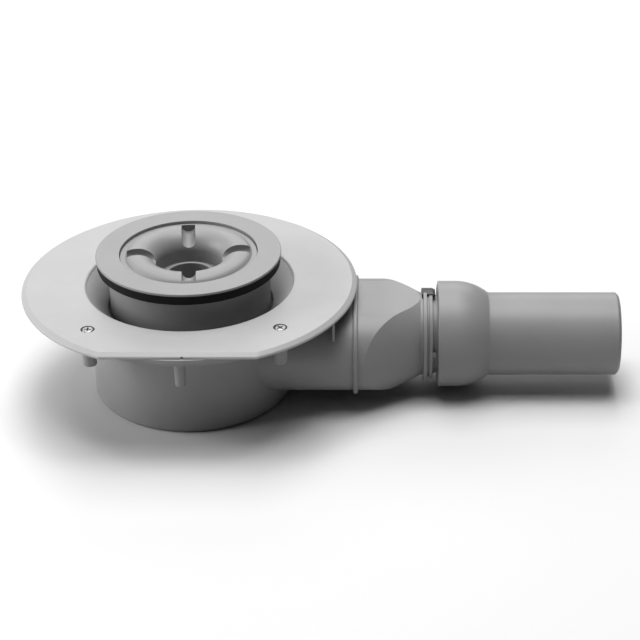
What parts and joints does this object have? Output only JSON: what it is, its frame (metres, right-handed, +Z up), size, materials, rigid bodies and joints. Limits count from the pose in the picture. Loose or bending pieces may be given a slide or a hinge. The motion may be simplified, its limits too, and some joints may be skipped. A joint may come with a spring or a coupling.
{
  "type": "shower trap",
  "caption": "Low shower trap: round drum with a clamping flange, gasketed drain neck, lift-out bell insert and a ball-jointed straight pipe outlet.",
  "frame": {"origin": "centre of the drum's flat base", "axes": "+Z up along the drum's axis, +X along the outlet pipe, the flange's flat side faces -Y"},
  "size_m": [0.3577, 0.191, 0.0908],
  "materials": {
    "body_plastic": "satin moulded polypropylene, mid grey",
    "neck_plastic": "satin moulded polypropylene, mid grey",
    "flange_plastic": "satin moulded polypropylene, light grey",
    "clip_plastic": "moulded plastic, dark grey",
    "seal_rubber": "black moulded rubber",
    "screw_steel": "bright stainless steel"
  },
  "bodies": {
    "trap": {"trap_body": "body_plastic", "outlet_reducer": "body_plastic", "fixing_flange": "flange_plastic", "flange_screws": "screw_steel", "body_seal": "seal_rubber", "drain_neck": "neck_plastic", "tray_gasket": "seal_rubber", "trap_insert": "neck_plastic", "insert_seal": "seal_rubber", "dip_tube": "neck_plastic", "dip_tube_seal": "seal_rubber", "retainer_front": "body_plastic", "retainer_rear": "clip_plastic"},
    "swivel": {"ball_seal": "seal_rubber"},
    "outlet": {"outlet_pipe": "body_plastic"}
  },
  "joints": [
    {"name": "outlet_swivel", "type": "hinge", "parent": "trap", "child": "swivel", "pos_m": [0.159, 0, 0.034], "axis": [1, 0, 0], "continuous": true},
    {"name": "outlet_tilt", "type": "hinge", "parent": "swivel", "child": "outlet", "pos_m": [0.159, 0, 0.034], "axis": [0, 1, 0], "range_deg": [-5, 5]}
  ]
}
